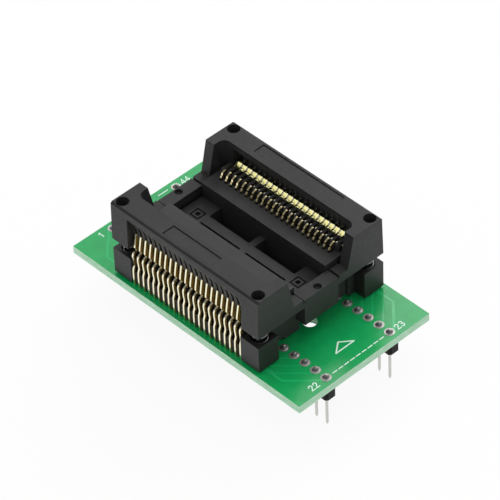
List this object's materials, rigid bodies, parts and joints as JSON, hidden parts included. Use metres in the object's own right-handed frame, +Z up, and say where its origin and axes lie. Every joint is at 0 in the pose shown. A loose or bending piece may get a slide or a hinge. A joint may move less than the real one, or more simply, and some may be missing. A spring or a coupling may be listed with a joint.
{
  "type": "zif test socket adapter",
  "caption": "Open-top spring-contact socket with a press-down frame, on a plug-in board with two rows of header pins.",
  "frame": {"origin": "centre of the two rows of header pins, on the plane that the pin headers' insulators seat on", "axes": "+X along the pin rows, +Y across them towards the back row, +Z up out of the package seat"},
  "size_m": [0.0566, 0.0312, 0.0273],
  "materials": {
    "board_green": "glossy green solder mask over glass-epoxy board",
    "socket_black": "fine-textured black moulding",
    "header_black": "smooth black moulding",
    "pin_tin": "bright tin plate over brass",
    "solder": "solder, shiny",
    "contact_gold": "gold plate over spring copper alloy",
    "spring_steel": "dark drawn wire"
  },
  "bodies": {
    "base": {"adapter_board": "board_green", "header_strip_front": "header_black", "header_strip_back": "header_black", "header_pins_front": "pin_tin", "header_pins_back": "pin_tin", "header_solder_front": "solder", "header_solder_back": "solder", "socket_base": "socket_black", "tip_guide_front": "socket_black", "tip_guide_back": "socket_black", "contact_feet_front": "contact_gold", "contact_feet_back": "contact_gold", "contact_solder_front": "solder", "contact_solder_back": "solder", "return_spring_front_left": "spring_steel", "return_spring_front_right": "spring_steel", "return_spring_back_left": "spring_steel", "return_spring_back_right": "spring_steel"},
    "cover": {"actuator_cover": "socket_black"},
    "front_arms": {"contact_arms_front": "contact_gold"},
    "back_arms": {"contact_arms_back": "contact_gold"}
  },
  "joints": [
    {"name": "cover_press", "type": "slide", "parent": "base", "child": "cover", "axis": [0, 0, -1], "range_m": [0, 0.0019], "stiffness_N_per_m": 4000, "springref_m": -0.002, "deforming": ["return_spring_front_left", "return_spring_front_right", "return_spring_back_left", "return_spring_back_right"]},
    {"name": "front_contacts_open", "type": "hinge", "parent": "base", "child": "front_arms", "pos_m": [0, -0.01445, 0.0106], "axis": [1, 0, 0], "range_deg": [0, 10.5]},
    {"name": "back_contacts_open", "type": "hinge", "parent": "base", "child": "back_arms", "pos_m": [0, 0.01445, 0.0106], "axis": [1, 0, 0], "range_deg": [-10.5, 0]}
  ],
  "couplings": [
    {"joint": "front_contacts_open", "follows": "cover_press", "rad_per_m": 94.6},
    {"joint": "back_contacts_open", "follows": "cover_press", "rad_per_m": -94.6}
  ]
}
